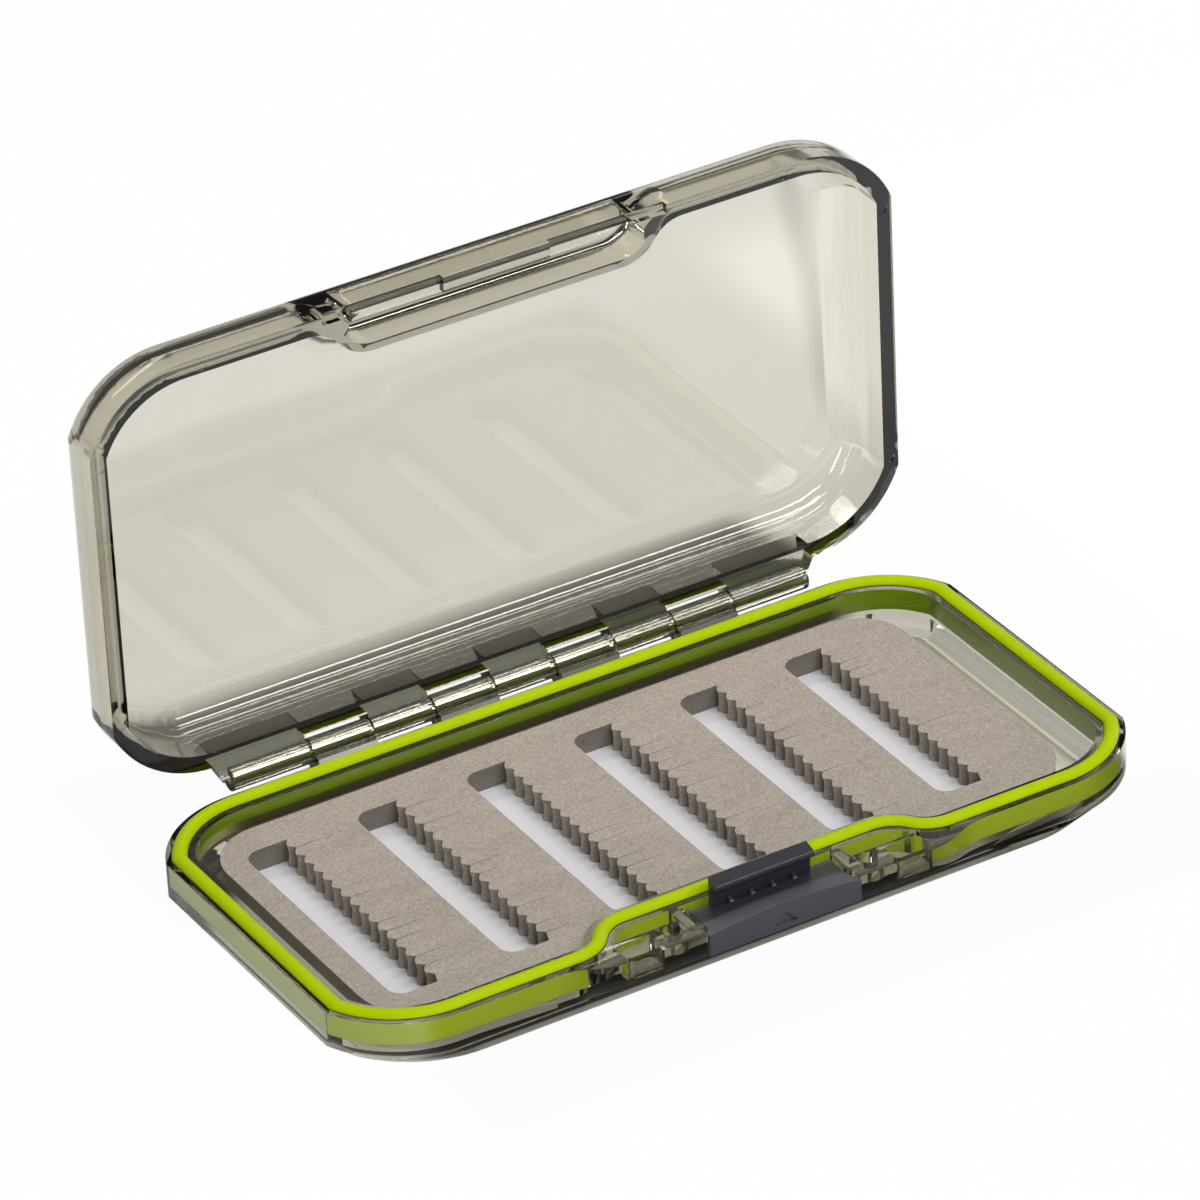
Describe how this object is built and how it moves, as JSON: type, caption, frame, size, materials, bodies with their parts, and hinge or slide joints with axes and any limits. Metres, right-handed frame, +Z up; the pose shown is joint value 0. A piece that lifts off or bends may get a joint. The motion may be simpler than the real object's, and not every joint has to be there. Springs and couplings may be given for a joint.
{
  "type": "fly box",
  "caption": "Flat clear fishing-fly box with a domed hinged lid, a push latch, a rubber rim seal and a slotted foam insert for hooks.",
  "frame": {"origin": "middle of the flat foot the box stands on", "axes": "+X along the box's long side and the hinge, -Y towards the latch, +Z up; stored with the lid open at a right angle"},
  "size_m": [0.155, 0.0976, 0.0931],
  "materials": {
    "smoke_clear": "glossy, transparent, faint olive smoke tint",
    "seal_rubber": "satin lime green",
    "foam": "matt closed-cell foam, warm grey",
    "white_sheet": "smooth white",
    "latch_grey": "satin slate grey",
    "rod_steel": "bright drawn wire"
  },
  "bodies": {
    "base": {"base_tray": "smoke_clear", "gasket": "seal_rubber", "foam_insert": "foam", "foam_backing": "white_sheet", "hinge_rod": "rod_steel"},
    "lid": {"lid_shell": "smoke_clear"},
    "latch": {"push_latch": "latch_grey"}
  },
  "joints": [
    {"name": "lid_hinge", "type": "hinge", "parent": "base", "child": "lid", "pos_m": [0, 0.042, 0.0121], "axis": [1, 0, 0], "range_deg": [0, 90]},
    {"name": "latch_push", "type": "slide", "parent": "base", "child": "latch", "axis": [0, 1, 0], "range_m": [0, 0.001], "stiffness_N_per_m": 800, "springref_m": -0.001}
  ]
}
